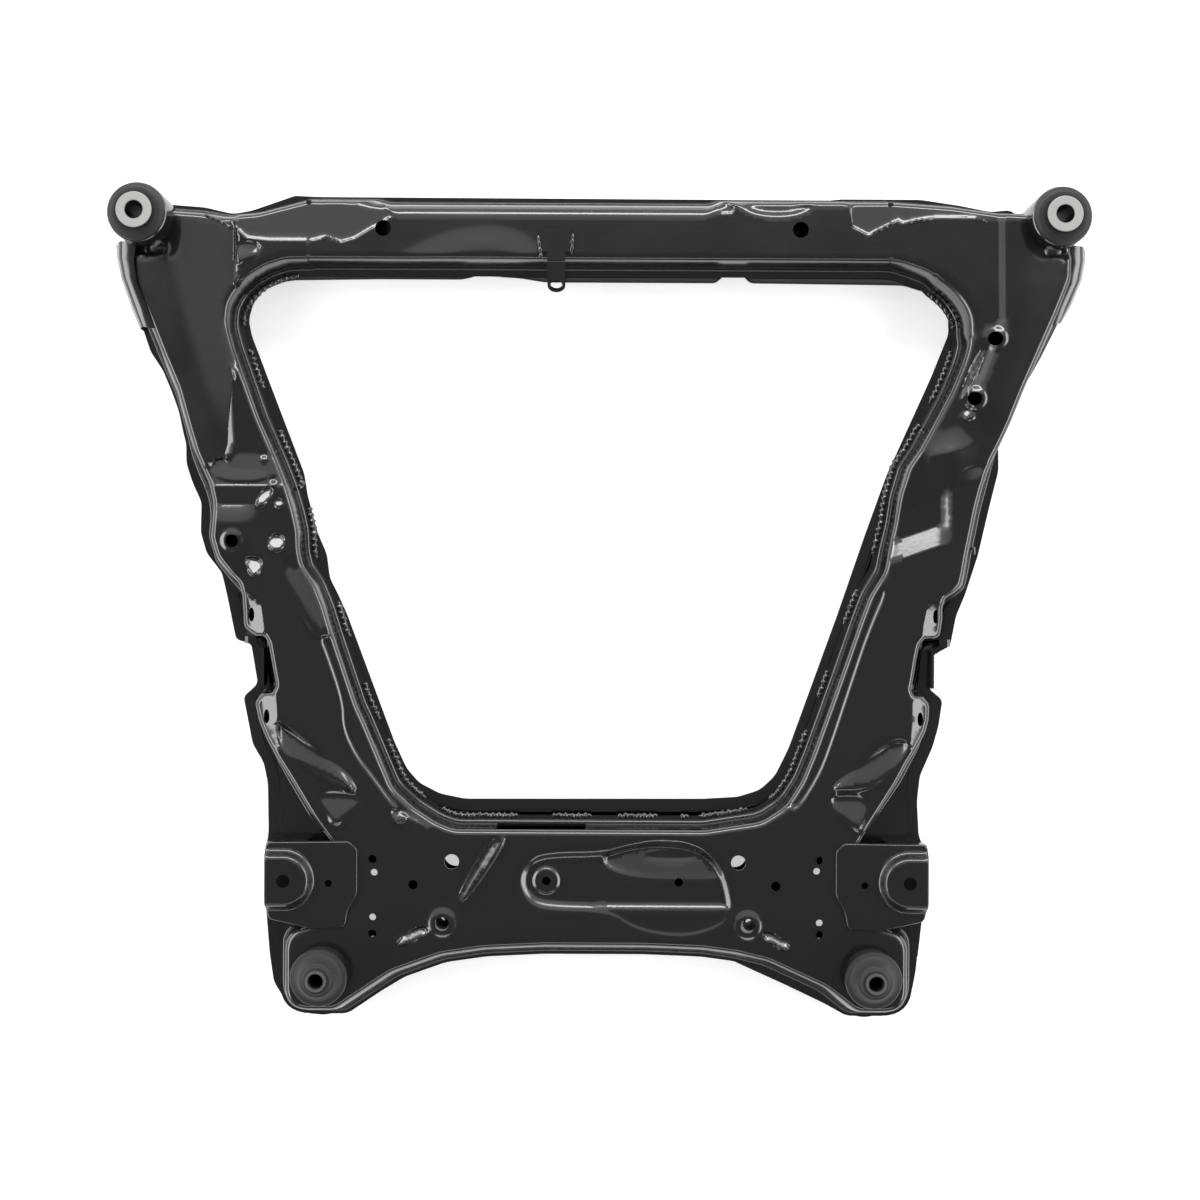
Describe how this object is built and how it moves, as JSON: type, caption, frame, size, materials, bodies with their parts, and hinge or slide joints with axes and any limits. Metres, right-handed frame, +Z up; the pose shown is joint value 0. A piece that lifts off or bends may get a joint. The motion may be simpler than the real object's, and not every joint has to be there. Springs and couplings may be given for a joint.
{
  "type": "engine subframe",
  "caption": "Pressed and welded front engine cradle with rubber body mounts, brackets for the lower arms and seats for steering gear and stabiliser bar.",
  "frame": {"origin": "middle of the frame's box on the plane it lies on", "axes": "+Y towards the front of the car, +X to the right in the picture, +Z up"},
  "size_m": [0.9836, 0.8318, 0.126],
  "materials": {
    "black_steel": "gloss black dip paint on pressed steel",
    "bush_rubber": "matte moulded rubber",
    "bare_sleeve": "machined, bare"
  },
  "bodies": {
    "root": {"main_upper_shell": "black_steel", "main_lower_shell": "black_steel", "front_upper_shell": "black_steel", "front_lower_shell": "black_steel", "left_front_mount_tube": "black_steel", "right_front_mount_tube": "black_steel", "left_front_bush_can": "black_steel", "right_front_bush_can": "black_steel", "left_front_bush_rubber": "bush_rubber", "right_front_bush_rubber": "bush_rubber", "left_front_sleeve": "bare_sleeve", "right_front_sleeve": "bare_sleeve", "left_rear_mount_tube": "black_steel", "right_rear_mount_tube": "black_steel", "left_rear_bush_can": "black_steel", "right_rear_bush_can": "black_steel", "left_rear_bush_rubber": "bush_rubber", "right_rear_bush_rubber": "bush_rubber", "left_rear_sleeve": "black_steel", "right_rear_sleeve": "black_steel", "left_arm_rear_bracket": "black_steel", "right_arm_rear_bracket": "black_steel", "left_arm_front_bracket": "black_steel", "right_arm_front_bracket": "black_steel", "left_mount_gusset": "black_steel", "right_mount_gusset": "black_steel", "tie_down_eye": "black_steel", "steering_gear_tubes": "black_steel", "stabiliser_nuts": "black_steel", "arm_rear_nuts": "black_steel", "arm_front_nuts": "black_steel", "torque_rod_nut": "black_steel"}
  },
  "joints": []
}
